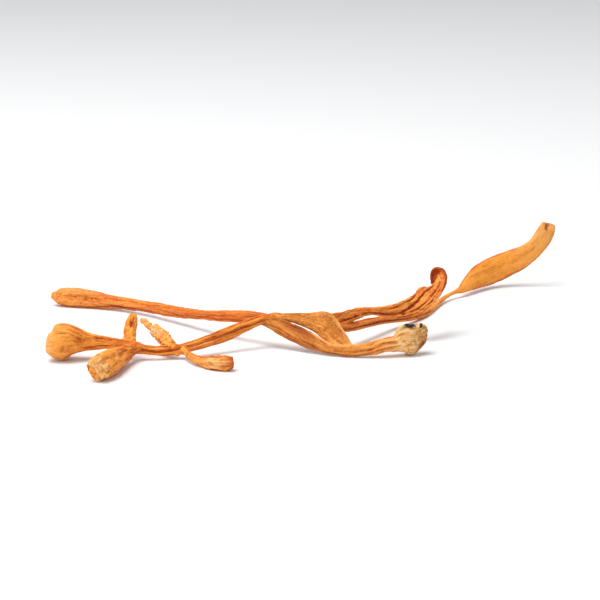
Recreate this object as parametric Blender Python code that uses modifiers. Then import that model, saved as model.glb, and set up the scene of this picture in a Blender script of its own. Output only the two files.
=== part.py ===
"""A dried cordyceps: one branching fruiting body, lying loose on a flat surface.

One cut foot carries a stem that forks in a flattened web. From there a stalk runs forward to a
round drumstick head, another runs back to a plain club, a wrinkled branch ends in a curl, and a
thin stalk widens into a long flat club.

Every branch is a loft: a list of stations along its middle line, each one
(x, y, z, half width, half thickness, roll in degrees), in millimetres. The broad side of a
section with no roll looks towards FACING. X runs along the piece, Y towards its far side and Z up.
"""

import math

import bmesh
import bpy
from mathutils import Quaternion, Vector

MM = 0.001

# Driving dimensions, in millimetres. MIDDLE is the point of the station lists that becomes the
# origin, and a section's half thickness counts towards its ridges only up to RIDGE_LIMIT.
CLEARANCE = 0.3
MIDDLE = Vector((1.4, 21.7, 0.0))
RIDGE_LIMIT = 0.8
FLOOR_SIZE = 160.0
FLOOR_DEPTH = 10.0

# Direction in which the broad side of a section looks
FACING = Vector((0.0, -0.972, 0.233))

# The cage of a branch: corners round a ring, how far it stands out of the shape so that the
# rounded shape has its full size, how hard its grooves are creased, and how its lumps follow
# one another from ring to ring and from corner to corner, in radians
RING_CORNERS = 10
SHOOT_CORNERS = 8
CAGE_SWELL = 1.05
GROOVE_CREASE = 0.9
LUMP_ALONG = 2.2
LUMP_AROUND = 3.7

# How far the first end of a branch leans along it, for each millimetre across the branch and out
# of its broad side, and the rings over which it levels out
SLANTED_RINGS = 6
FOOT_SLANT = (0.55, -0.4)
HEAD_SLANT = (0.1, 0.0)

# Foot: from the frayed cut end, along the stem, to the crossing of the stalks
FOOT_PATH = [
    (19.3, 6.2, 2.82, 1.26, 1.0, 0),
    (18.3, 6.0, 2.39, 2.34, 1.4, 0),
    (17.0, 5.5, 2.46, 2.43, 1.4, 0),
    (16.0, 5.1, 2.56, 2.34, 1.25, 3),
    (15.3, 4.8, 2.12, 1.52, 1.05, 8),
    (14.3, 4.5, 1.96, 1.2, 0.9, 12),
    (13.1, 4.2, 1.91, 1.05, 0.76, 18),
    (11.8, 4.0, 1.51, 1.08, 0.68, 15),
    (10.2, 3.9, 1.21, 0.96, 0.62, 5),
    (7.9, 4.0, 0.91, 0.79, 0.62, -5),
    (5.4, 4.6, 1.0, 0.73, 0.62, -15),
    (4.1, 5.2, 1.2, 0.79, 0.6, -15),
    (2.8, 6.0, 1.51, 1.06, 0.6, -10),
    (1.3, 7.0, 1.92, 1.2, 0.6, 0),
    (-0.4, 8.2, 2.44, 1.22, 0.58, 5),
    (-2.2, 9.2, 3.04, 1.18, 0.55, 10),
    (-3.8, 10.0, 3.63, 1.06, 0.5, 15),
    (-5.3, 10.7, 4.13, 0.83, 0.5, 20),
]
FOOT_FRAY = 0.4

# Web: from the crossing, widening, and down into the stem
WEB_PATH = [
    (-3.7, 10.9, 4.78, 0.39, 0.46, 0),
    (-1.8, 10.2, 4.86, 0.59, 0.42, 0),
    (0.1, 9.4, 4.72, 0.97, 0.38, 0),
    (1.9, 8.6, 4.5, 1.35, 0.36, 0),
    (3.8, 7.6, 4.45, 2.1, 0.36, 0),
    (5.0, 6.5, 3.26, 1.58, 0.36, 0),
    (6.2, 5.4, 2.3, 1.4, 0.36, 0),
    (7.0, 4.5, 1.44, 1.14, 0.36, 0),
    (7.6, 4.0, 1.09, 0.7, 0.34, 0),
]

# Front branch: from the drumstick head, along the stalk, to the crossing
FRONT_PATH = [
    (-38.5, 2.2, 2.66, 1.62, 1.45, 0),
    (-37.7, 2.2, 2.66, 2.61, 2.1, 0),
    (-36.3, 2.4, 2.97, 2.9, 2.4, 0),
    (-35.0, 2.5, 3.07, 2.41, 2.1, 5),
    (-33.7, 2.6, 2.89, 1.74, 1.55, 8),
    (-32.2, 2.6, 2.71, 1.28, 1.15, 10),
    (-30.5, 2.7, 2.66, 0.93, 0.85, 15),
    (-28.5, 2.7, 2.6, 0.78, 0.66, 15),
    (-26.1, 2.6, 2.17, 0.73, 0.58, 10),
    (-23.2, 2.4, 1.44, 0.7, 0.52, 0),
    (-20.3, 2.6, 1.3, 0.76, 0.5, -10),
    (-17.0, 3.6, 1.64, 0.7, 0.5, -20),
    (-14.6, 5.1, 2.13, 0.88, 0.5, -15),
    (-12.0, 6.8, 2.61, 0.97, 0.5, 0),
    (-9.4, 8.4, 3.36, 0.94, 0.5, 15),
    (-7.1, 9.7, 4.1, 0.83, 0.52, 20),
    (-5.2, 10.6, 4.61, 0.62, 0.5, 20),
    (-3.7, 11.1, 4.8, 0.39, 0.42, 15),
]

# Side shoots of the front branch, each from its root in the stalk to its tip
EAR_PATH = [
    (-26.2, 3.0, 2.1, 0.86, 0.6, 0),
    (-26.25, 3.7, 3.36, 0.98, 0.58, 0),
    (-26.1, 4.4, 4.57, 0.98, 0.55, 10),
    (-25.85, 5.0, 5.56, 0.96, 0.52, 20),
    (-25.7, 5.4, 6.24, 0.55, 0.38, 20),
]
GRANULAR_SHOOT_PATH = [
    (-19.6, 3.0, 1.44, 0.58, 0.5, 0),
    (-20.5, 4.4, 2.34, 0.88, 0.65, 0),
    (-21.6, 6.0, 3.11, 0.91, 0.65, 0),
    (-23.0, 7.5, 3.68, 0.62, 0.55, 0),
    (-24.0, 8.6, 4.19, 0.38, 0.4, 0),
    (-24.5, 9.2, 4.47, 0.21, 0.25, 0),
]
BUD_SHOOT_PATH = [
    (-24.8, 2.6, 1.9, 0.58, 0.5, 0),
    (-26.2, 0.4, 1.81, 1.04, 0.85, 0),
    (-27.5, -2.6, 1.76, 1.61, 1.3, 0),
    (-28.6, -5.8, 1.77, 1.99, 1.6, 0),
    (-29.6, -8.8, 1.83, 2.06, 1.7, 0),
    (-30.3, -10.8, 1.87, 1.66, 1.45, 0),
]
SMALL_CLUB_PATH = [
    (-17.9, 3.2, 1.45, 0.49, 0.45, 0),
    (-16.6, 0.0, 0.96, 0.52, 0.45, 0),
    (-14.9, -2.0, 0.86, 0.75, 0.62, 0),
    (-13.2, -3.4, 0.96, 1.17, 0.95, 0),
    (-11.5, -4.0, 1.09, 1.34, 1.1, 0),
    (-10.3, -4.1, 1.29, 0.97, 0.85, 0),
]

# Back branch: from the crossing to its plain club head
BACK_PATH = [
    (-3.6, 11.0, 4.2, 0.60, 0.45, 0),
    (-6.9, 12.8, 4.2, 0.85, 0.50, 0),
    (-9.6, 14.5, 3.9, 0.98, 0.50, 10),
    (-12.6, 17.0, 3.3, 0.92, 0.50, 20),
    (-15.5, 20.0, 2.7, 0.66, 0.50, 10),
    (-19.0, 24.0, 2.1, 0.88, 0.52, 0),
    (-22.6, 28.0, 1.75, 0.96, 0.55, -10),
    (-25.9, 31.3, 1.5, 0.90, 0.55, -15),
    (-29.2, 33.7, 1.35, 0.94, 0.62, -10),
    (-32.5, 35.5, 1.35, 1.15, 0.90, 0),
    (-35.7, 36.7, 1.42, 1.50, 1.25, 0),
    (-38.4, 37.4, 1.48, 1.62, 1.40, 0),
    (-40.3, 37.8, 1.55, 1.30, 1.15, 0),
    (-41.1, 38.0, 1.6, 0.60, 0.55, 0),
]

# Curled branch: from the web, over a hump and a knee, to the curled tip
CURLED_PATH = [
    (4.3, 8.8, 4.14, 0.77, 0.4, 0),
    (5.8, 10.0, 4.36, 0.95, 0.5, 0),
    (7.4, 11.2, 4.59, 0.98, 0.6, 5),
    (8.7, 12.0, 4.94, 0.92, 0.6, 10),
    (10.0, 12.4, 5.15, 0.71, 0.55, 15),
    (11.3, 12.7, 5.23, 0.55, 0.5, 20),
    (12.7, 13.0, 4.98, 0.77, 0.52, 15),
    (14.3, 13.3, 4.97, 1.01, 0.58, 5),
    (15.9, 13.7, 5.08, 1.28, 0.62, -5),
    (17.5, 14.5, 5.26, 1.52, 0.64, -15),
    (19.1, 15.5, 5.88, 1.68, 0.66, -20),
    (20.5, 16.8, 6.74, 1.74, 0.66, -30),
    (21.8, 17.9, 7.41, 1.11, 0.64, -35),
    (22.5, 19.0, 8.21, 0.9, 0.6, -35),
    (22.8, 19.9, 8.96, 0.88, 0.5, -35),
    (22.6, 20.7, 9.87, 0.57, 0.43, -42),
    (21.6, 21.0, 9.99, 0.54, 0.34, -30),
    (21.4, 20.6, 9.15, 0.76, 0.28, 0),
    (21.3, 20.3, 8.22, 0.45, 0.26, 0),
    (21.3, 20.2, 7.62, 0.21, 0.24, 0),
]

# Long club: from the web, along the thin stalk on the surface, through the neck, to the tip
CLUB_PATH = [
    (4.9, 7.9, 3.76, 0.53, 0.45, 0),
    (6.9, 9.8, 3.07, 0.62, 0.5, 0),
    (8.8, 12.6, 2.78, 0.71, 0.55, 0),
    (10.7, 15.6, 2.53, 0.69, 0.55, 0),
    (12.9, 18.8, 2.11, 0.57, 0.52, 0),
    (14.6, 21.5, 1.7, 0.64, 0.52, 0),
    (16.9, 24.3, 1.25, 0.64, 0.5, 0),
    (19.4, 27.6, 0.8, 0.62, 0.5, 0),
    (21.0, 30.8, 0.55, 0.56, 0.48, 0),
    (22.4, 35.4, 0.42, 0.46, 0.4, 0),
    (24.0, 39.8, 0.65, 0.35, 0.33, 0),
    (25.5, 42.3, 0.92, 0.25, 0.27, 0),
    (26.6, 43.2, 1.1, 0.32, 0.3, 0),
    (27.6, 44.2, 1.3, 0.7, 0.42, 0),
    (28.9, 46.8, 1.8, 1.38, 0.62, 0),
    (31.5, 50.4, 2.5, 2.22, 0.85, 5),
    (34.3, 52.0, 3.3, 2.26, 0.9, 8),
    (37.2, 52.5, 4.4, 2.12, 0.85, 10),
    (39.2, 52.6, 5.45, 1.72, 0.75, 12),
    (40.7, 52.8, 6.65, 1.6, 0.68, 15),
    (41.8, 53.2, 8.1, 1.66, 0.62, 18),
    (42.6, 53.5, 9.5, 1.66, 0.58, 20),
    (42.9, 53.7, 10.55, 1.3, 0.42, 20),
]
CLUB_NOTCH = 0.9


def collection(name):
    """Make a collection and show it in the scene."""
    made = bpy.data.collections.new(name)
    bpy.context.scene.collection.children.link(made)
    return made


def finish(name, colour, roughness):
    """Make a plain material with one colour."""
    material = bpy.data.materials.new(name)
    material.use_nodes = True
    shader = material.node_tree.nodes["Principled BSDF"]
    shader.inputs["Base Color"].default_value = (*colour, 1.0)
    shader.inputs["Roughness"].default_value = roughness
    shader.inputs["Metallic"].default_value = 0.0
    return material


def section_axes(centres, index, roll):
    """Give the directions along, across and out of the broad side at one station."""
    before = centres[max(index - 1, 0)]
    after = centres[min(index + 1, len(centres) - 1)]
    along = (after - before).normalized()
    across = along.cross(FACING).normalized()
    across.rotate(Quaternion(along, math.radians(roll)))
    return along, across, across.cross(along)


def cage(name, path, corners=RING_CORNERS, ridge=0.4, lump=0.0, cup=0.0, fray=0.0, notch=0.0,
         slant=(0.0, 0.0), grow=0.0):
    """Loft rings of corners along a path and close both ends.

    Every second corner of a ring stands out by ridge, a share of the half thickness, and the
    others stand in. That makes the long ridges, and the edges along the low corners are creased
    into grooves. lump makes the surface uneven along and around the branch, and cup bends the
    two edges of a section towards its broad side. fray pushes every second corner of the first
    ring out along the branch, notch pulls the middle of the last two rings back, and slant tilts
    the first rings across the branch and out of its broad side. grow makes the whole loft larger
    all round.
    """
    centres = [Vector(station[:3]) - MIDDLE for station in path]
    mesh = bmesh.new()
    rings = []
    for index, (*_, half_width, half_thickness, roll) in enumerate(path):
        along, across, out = section_axes(centres, index, roll)
        centre = centres[index].copy()
        if index == 0:
            centre -= along * grow
        if index == len(path) - 1:
            centre += along * grow
        tip = notch if index >= len(path) - 2 else 0.0
        torn = fray if index == 0 else 0.0
        tilt = max(1.0 - index / SLANTED_RINGS, 0.0)
        ring = []
        for corner in range(corners):
            angle = 2.0 * math.pi * corner / corners
            side, front = math.cos(angle), math.sin(angle)
            swell = CAGE_SWELL * (1.0 + lump * math.sin(LUMP_ALONG * index + LUMP_AROUND * corner))
            height = ridge * min(half_thickness, RIDGE_LIMIT)
            rise = grow + (height if corner % 2 else -height)
            point = centre + across * side * (half_width * swell + rise)
            point += out * front * (half_thickness * swell + rise)
            point += out * cup * half_width * (side * side - 0.5)
            point -= along * tip * front * front
            point -= along * torn * (corner % 2)
            point -= along * tilt * (slant[0] * side * half_width + slant[1] * front * half_thickness)
            ring.append(mesh.verts.new(point * MM))
        rings.append(ring)
    for ring, following in zip(rings, rings[1:]):
        for corner in range(corners):
            beside = (corner + 1) % corners
            mesh.faces.new((ring[corner], ring[beside], following[beside], following[corner]))
    mesh.faces.new(reversed(rings[0]))
    mesh.faces.new(rings[-1])
    crease = mesh.edges.layers.float.new("crease_edge")
    for ring, following in zip(rings, rings[1:]):
        for corner in range(0, corners, 2):
            mesh.edges.get((ring[corner], following[corner]))[crease] = GROOVE_CREASE
    bmesh.ops.recalc_face_normals(mesh, faces=mesh.faces)
    data = bpy.data.meshes.new(name)
    mesh.to_mesh(data)
    mesh.free()
    data.shade_smooth()
    return data


def rounded(name, data, home):
    """Place a cage as an object and round it with one level of subdivision."""
    made = bpy.data.objects.new(name, data)
    home.objects.link(made)
    round_off = made.modifiers.new("round", "SUBSURF")
    round_off.levels = 1
    round_off.render_levels = 1
    return made


def hide(tool):
    """Show a cutter or a guide as wire only."""
    tool.hide_render = True
    tool.display_type = "WIRE"
    return tool


def combine(made, tool, operation):
    """Cut a tool out of an object, or grow it on, with an exact Boolean."""
    step = made.modifiers.new(operation.lower(), "BOOLEAN")
    step.operation = operation
    step.solver = "EXACT"
    step.object = tool


def floor_cutter(home):
    """Make a block whose top is the surface that the piece lies on."""
    mesh = bmesh.new()
    bmesh.ops.create_cube(mesh, size=1.0)
    bmesh.ops.scale(mesh, vec=Vector((FLOOR_SIZE, FLOOR_SIZE, FLOOR_DEPTH)) * MM, verts=mesh.verts)
    bmesh.ops.translate(mesh, vec=Vector((0.0, 0.0, -FLOOR_DEPTH / 2.0)) * MM, verts=mesh.verts)
    data = bpy.data.meshes.new("floor")
    mesh.to_mesh(data)
    mesh.free()
    made = bpy.data.objects.new("floor", data)
    home.objects.link(made)
    return hide(made)


for old in list(bpy.data.objects):
    bpy.data.objects.remove(old, do_unlink=True)

pieces = collection("dried_cordyceps")
tools = collection("cutters")

SHAPES = {
    "foot": dict(path=FOOT_PATH, ridge=0.46, lump=0.12, fray=FOOT_FRAY, slant=FOOT_SLANT),
    "web": dict(path=WEB_PATH, ridge=0.46, lump=0.06, cup=-0.15),
    "front_branch": dict(path=FRONT_PATH, ridge=0.46, lump=0.06, slant=HEAD_SLANT),
    "back_branch": dict(path=BACK_PATH, ridge=0.48, lump=0.08),
    "curled_branch": dict(path=CURLED_PATH, ridge=0.55, lump=0.12, cup=0.25),
    "long_club": dict(path=CLUB_PATH, ridge=0.52, lump=0.06, notch=CLUB_NOTCH),
}
FINISHES = {
    "foot": finish("straw foot", (0.66, 0.33, 0.10), 0.75),
    "web": finish("web orange", (0.72, 0.21, 0.03), 0.6),
    "front_branch": finish("light orange", (0.78, 0.27, 0.04), 0.6),
    "back_branch": finish("stalk orange", (0.62, 0.15, 0.02), 0.6),
    "curled_branch": finish("deep orange", (0.52, 0.11, 0.02), 0.6),
    "long_club": finish("club orange", (0.74, 0.24, 0.03), 0.6),
}
SHOOTS = {
    "ear": EAR_PATH,
    "granular_shoot": GRANULAR_SHOOT_PATH,
    "bud_shoot": BUD_SHOOT_PATH,
    "small_club": SMALL_CLUB_PATH,
}
# Each branch ends against the ones named here and keeps the clearance to them
ENDS_AGAINST = {
    "foot": ["front_branch"],
    "web": ["foot"],
    "front_branch": ["web"],
    "back_branch": ["foot", "web", "front_branch"],
    "curled_branch": ["web"],
    "long_club": ["web", "curled_branch"],
}

floor = floor_cutter(tools)
room_around = {}
for name in ("foot", "web", "front_branch", "curled_branch"):
    grown = cage(name + "_room", grow=CLEARANCE, **SHAPES[name])
    room_around[name] = hide(rounded(name + "_room", grown, tools))

for name, shape in SHAPES.items():
    made = rounded(name, cage(name, **shape), pieces)
    made.data.materials.append(FINISHES[name])
    if name == "front_branch":
        for shoot, path in SHOOTS.items():
            grown = cage(shoot, path, corners=SHOOT_CORNERS, ridge=0.3, lump=0.08)
            combine(made, hide(rounded(shoot, grown, tools)), "UNION")
    for neighbour in ENDS_AGAINST[name]:
        combine(made, room_around[neighbour], "DIFFERENCE")
    combine(made, floor, "DIFFERENCE")
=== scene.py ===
"""Dresses a dried cordyceps, one branching fruiting body that lies loose, and its pale floor.

Every branch is a skin: a grid of points with one row for each step along the branch and one
column for each step round it, carried along a smooth line through a list of stations. Furrows,
streaks, wrinkles and grains are heights added along the skin's outward direction, and the same
heights are kept on the mesh for its colours. Lengths are millimetres until a mesh is made.

A spot on a branch is given by its way along the line, from the first station, and by its turn
round the line in degrees. As the camera sees it, 0 is the edge on the right hand of the way that
the branch runs, 90 the middle of the near side, 180 the left-hand edge and 270 the back.
"""
import math

import bpy
import numpy as np
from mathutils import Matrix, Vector


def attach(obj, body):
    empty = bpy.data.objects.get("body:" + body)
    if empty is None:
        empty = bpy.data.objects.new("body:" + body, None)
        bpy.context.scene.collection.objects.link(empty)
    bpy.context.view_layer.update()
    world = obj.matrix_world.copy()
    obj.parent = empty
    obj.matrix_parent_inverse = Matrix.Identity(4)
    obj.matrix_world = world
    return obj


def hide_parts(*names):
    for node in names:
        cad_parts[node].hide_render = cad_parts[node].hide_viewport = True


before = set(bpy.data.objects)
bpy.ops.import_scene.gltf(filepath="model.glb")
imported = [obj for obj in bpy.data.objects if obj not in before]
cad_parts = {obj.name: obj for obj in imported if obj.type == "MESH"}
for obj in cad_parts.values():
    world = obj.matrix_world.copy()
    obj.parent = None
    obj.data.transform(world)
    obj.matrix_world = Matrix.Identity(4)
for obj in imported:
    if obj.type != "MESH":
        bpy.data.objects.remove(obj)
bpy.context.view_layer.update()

MM = 0.001
BODY = "root"

# The point of the station lists that is the origin, and where the broad side of a section looks
MIDDLE = np.array((1.4, 21.7, 0.0))
FACING = np.array((0.0, -0.972, 0.233))

# The grid of a skin: points round it, millimetres between its rows, and rows that close each end,
# down to a smallest share of the full section. A frayed cut is torn along this length.
COLUMNS = 112
ROW_STEP = 0.09
CAP_ROWS = 14
SMALLEST_SECTION = 0.02
FRAY_LENGTH = 2.5
# Readings of the smooth line for each station
KNOT_READINGS = 60
# A fillet reads every second row of its neighbour, takes no half width for less than this, and
# works on this many points at a time
FILLET_ROWS = 2
FILLET_LEAST = 0.05
FILLET_CHUNK = 6000
ALONG, ACROSS, OUT = range(3)

# ------------------------ stations of the branches
# Each one is (x, y, z, half width, half thickness, roll in degrees), from the branch's tip or
# root to its other end. A slant is how far the first end leans for each millimetre across and out.
FOOT_PATH = [
    (19.3, 6.2, 2.82, 1.26, 1.0, 0),
    (18.3, 6.0, 2.39, 2.34, 1.4, 0),
    (17.0, 5.5, 2.46, 2.43, 1.4, 0),
    (16.0, 5.1, 2.56, 2.34, 1.25, 3),
    (15.3, 4.8, 2.12, 1.52, 1.05, 8),
    (14.3, 4.5, 1.96, 1.2, 0.9, 12),
    (13.1, 4.2, 1.91, 1.05, 0.76, 18),
    (11.8, 4.0, 1.51, 1.08, 0.68, 15),
    (10.2, 3.9, 1.21, 0.96, 0.62, 5),
    (7.9, 4.0, 0.91, 0.79, 0.62, -5),
    (5.4, 4.6, 1.0, 0.73, 0.62, -15),
    (4.1, 5.2, 1.2, 0.79, 0.6, -15),
    (2.8, 6.0, 1.51, 1.06, 0.6, -10),
    (1.3, 7.0, 1.92, 1.2, 0.6, 0),
    (-0.4, 8.2, 2.44, 1.22, 0.58, 5),
    (-2.2, 9.2, 3.04, 1.18, 0.55, 10),
    (-3.8, 10.0, 3.63, 1.06, 0.5, 15),
    (-5.3, 10.7, 4.13, 0.83, 0.5, 20),
]
FOOT_SLANT = (0.55, -0.4)
WEB_PATH = [
    (-3.7, 10.9, 4.78, 0.39, 0.46, 0),
    (-1.8, 10.2, 4.86, 0.59, 0.42, 0),
    (0.1, 9.4, 4.72, 0.97, 0.38, 0),
    (1.9, 8.6, 4.5, 1.35, 0.36, 0),
    (3.8, 7.6, 4.45, 2.1, 0.36, 0),
    (5.0, 6.5, 3.26, 1.58, 0.36, 0),
    (6.2, 5.4, 2.3, 1.4, 0.36, 0),
    (7.0, 4.5, 1.44, 1.14, 0.36, 0),
    (7.6, 4.0, 1.09, 0.7, 0.34, 0),
]
FRONT_PATH = [
    (-38.5, 2.2, 2.66, 1.62, 1.45, 0),
    (-37.7, 2.2, 2.66, 2.61, 2.1, 0),
    (-36.3, 2.4, 2.97, 2.9, 2.4, 0),
    (-35.0, 2.5, 3.07, 2.41, 2.1, 5),
    (-33.7, 2.6, 2.89, 1.74, 1.55, 8),
    (-32.2, 2.6, 2.71, 1.28, 1.15, 10),
    (-30.5, 2.7, 2.66, 0.93, 0.85, 15),
    (-28.5, 2.7, 2.6, 0.78, 0.66, 15),
    (-26.1, 2.6, 2.17, 0.73, 0.58, 10),
    (-23.2, 2.4, 1.44, 0.7, 0.52, 0),
    (-20.3, 2.6, 1.3, 0.76, 0.5, -10),
    (-17.0, 3.6, 1.64, 0.7, 0.5, -20),
    (-14.6, 5.1, 2.13, 0.88, 0.5, -15),
    (-12.0, 6.8, 2.61, 0.97, 0.5, 0),
    (-9.4, 8.4, 3.36, 0.94, 0.5, 15),
    (-7.1, 9.7, 4.1, 0.83, 0.52, 20),
    (-5.2, 10.6, 4.61, 0.62, 0.5, 20),
    (-3.7, 11.1, 4.8, 0.39, 0.42, 15),
]
HEAD_SLANT = (0.1, 0.0)
EAR_PATH = [
    (-26.2, 3.0, 2.1, 0.86, 0.6, 0),
    (-26.25, 3.7, 3.36, 0.98, 0.58, 0),
    (-26.1, 4.4, 4.57, 0.98, 0.55, 10),
    (-25.85, 5.0, 5.56, 0.96, 0.52, 20),
    (-25.7, 5.4, 6.24, 0.55, 0.38, 20),
]
GRANULAR_SHOOT_PATH = [
    (-19.6, 3.0, 1.44, 0.58, 0.5, 0),
    (-20.5, 4.4, 2.34, 0.88, 0.65, 0),
    (-21.6, 6.0, 3.11, 0.91, 0.65, 0),
    (-23.0, 7.5, 3.68, 0.62, 0.55, 0),
    (-24.0, 8.6, 4.19, 0.38, 0.4, 0),
    (-24.5, 9.2, 4.47, 0.21, 0.25, 0),
]
BUD_SHOOT_PATH = [
    (-24.8, 2.6, 1.9, 0.58, 0.5, 0),
    (-26.2, 0.4, 1.81, 1.04, 0.85, 0),
    (-27.5, -2.6, 1.76, 1.61, 1.3, 0),
    (-28.6, -5.8, 1.77, 1.99, 1.6, 0),
    (-29.6, -8.8, 1.83, 2.06, 1.7, 0),
    (-30.3, -10.8, 1.87, 1.66, 1.45, 0),
]
SMALL_CLUB_PATH = [
    (-17.9, 3.2, 1.45, 0.49, 0.45, 0),
    (-16.6, 0.0, 0.96, 0.52, 0.45, 0),
    (-14.9, -2.0, 0.86, 0.75, 0.62, 0),
    (-13.2, -3.4, 0.96, 1.17, 0.95, 0),
    (-11.5, -4.0, 1.09, 1.34, 1.1, 0),
    (-10.3, -4.1, 1.29, 0.97, 0.85, 0),
]
BACK_PATH = [
    (-3.6, 11.0, 4.2, 0.60, 0.45, 0),
    (-6.9, 12.8, 4.2, 0.85, 0.50, 0),
    (-9.6, 14.5, 3.9, 0.98, 0.50, 10),
    (-12.6, 17.0, 3.3, 0.92, 0.50, 20),
    (-15.5, 20.0, 2.7, 0.66, 0.50, 10),
    (-19.0, 24.0, 2.1, 0.88, 0.52, 0),
    (-22.6, 28.0, 1.75, 0.96, 0.55, -10),
    (-25.9, 31.3, 1.5, 0.90, 0.55, -15),
    (-29.2, 33.7, 1.35, 0.94, 0.62, -10),
    (-32.5, 35.5, 1.35, 1.15, 0.90, 0),
    (-35.7, 36.7, 1.42, 1.50, 1.25, 0),
    (-38.4, 37.4, 1.48, 1.62, 1.40, 0),
    (-40.3, 37.8, 1.55, 1.30, 1.15, 0),
    (-41.1, 38.0, 1.6, 0.60, 0.55, 0),
]
CURLED_PATH = [
    (4.3, 8.8, 4.14, 0.77, 0.4, 0),
    (5.8, 10.0, 4.36, 0.95, 0.5, 0),
    (7.4, 11.2, 4.59, 0.98, 0.6, 5),
    (8.7, 12.0, 4.94, 0.92, 0.6, 10),
    (10.0, 12.4, 5.15, 0.71, 0.55, 15),
    (11.3, 12.7, 5.23, 0.55, 0.5, 20),
    (12.7, 13.0, 4.98, 0.77, 0.52, 15),
    (14.3, 13.3, 4.97, 1.01, 0.58, 5),
    (15.9, 13.7, 5.08, 1.28, 0.62, -5),
    (17.5, 14.5, 5.26, 1.52, 0.64, -15),
    (19.1, 15.5, 5.88, 1.68, 0.66, -20),
    (20.5, 16.8, 6.74, 1.74, 0.66, -30),
    (21.8, 17.9, 7.41, 1.11, 0.64, -35),
    (22.5, 19.0, 8.21, 0.9, 0.6, -35),
    (22.8, 19.9, 8.96, 0.88, 0.5, -35),
    (22.6, 20.7, 9.87, 0.57, 0.43, -42),
    (21.6, 21.0, 9.99, 0.54, 0.34, -30),
    (21.4, 20.6, 9.15, 0.76, 0.28, 0),
    (21.3, 20.3, 8.22, 0.45, 0.26, 0),
    (21.3, 20.2, 7.62, 0.21, 0.24, 0),
]
CLUB_PATH = [
    (4.9, 7.9, 3.76, 0.53, 0.45, 0),
    (6.9, 9.8, 3.07, 0.62, 0.5, 0),
    (8.8, 12.6, 2.78, 0.71, 0.55, 0),
    (10.7, 15.6, 2.53, 0.69, 0.55, 0),
    (12.9, 18.8, 2.11, 0.57, 0.52, 0),
    (14.6, 21.5, 1.7, 0.64, 0.52, 0),
    (16.9, 24.3, 1.25, 0.64, 0.5, 0),
    (19.4, 27.6, 0.8, 0.62, 0.5, 0),
    (21.0, 30.8, 0.55, 0.56, 0.48, 0),
    (22.4, 35.4, 0.42, 0.46, 0.4, 0),
    (24.0, 39.8, 0.65, 0.35, 0.33, 0),
    (25.5, 42.3, 0.92, 0.25, 0.27, 0),
    (26.6, 43.2, 1.1, 0.32, 0.3, 0),
    (27.6, 44.2, 1.3, 0.7, 0.42, 0),
    (28.9, 46.8, 1.8, 1.38, 0.62, 0),
    (31.5, 50.4, 2.5, 2.22, 0.85, 5),
    (34.3, 52.0, 3.3, 2.26, 0.9, 8),
    (37.2, 52.5, 4.4, 2.12, 0.85, 10),
    (39.2, 52.6, 5.45, 1.72, 0.75, 12),
    (40.7, 52.8, 6.65, 1.6, 0.68, 15),
    (41.8, 53.2, 8.1, 1.66, 0.62, 18),
    (42.6, 53.5, 9.5, 1.66, 0.58, 20),
    (42.9, 53.7, 10.55, 1.3, 0.42, 20),
]

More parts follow.
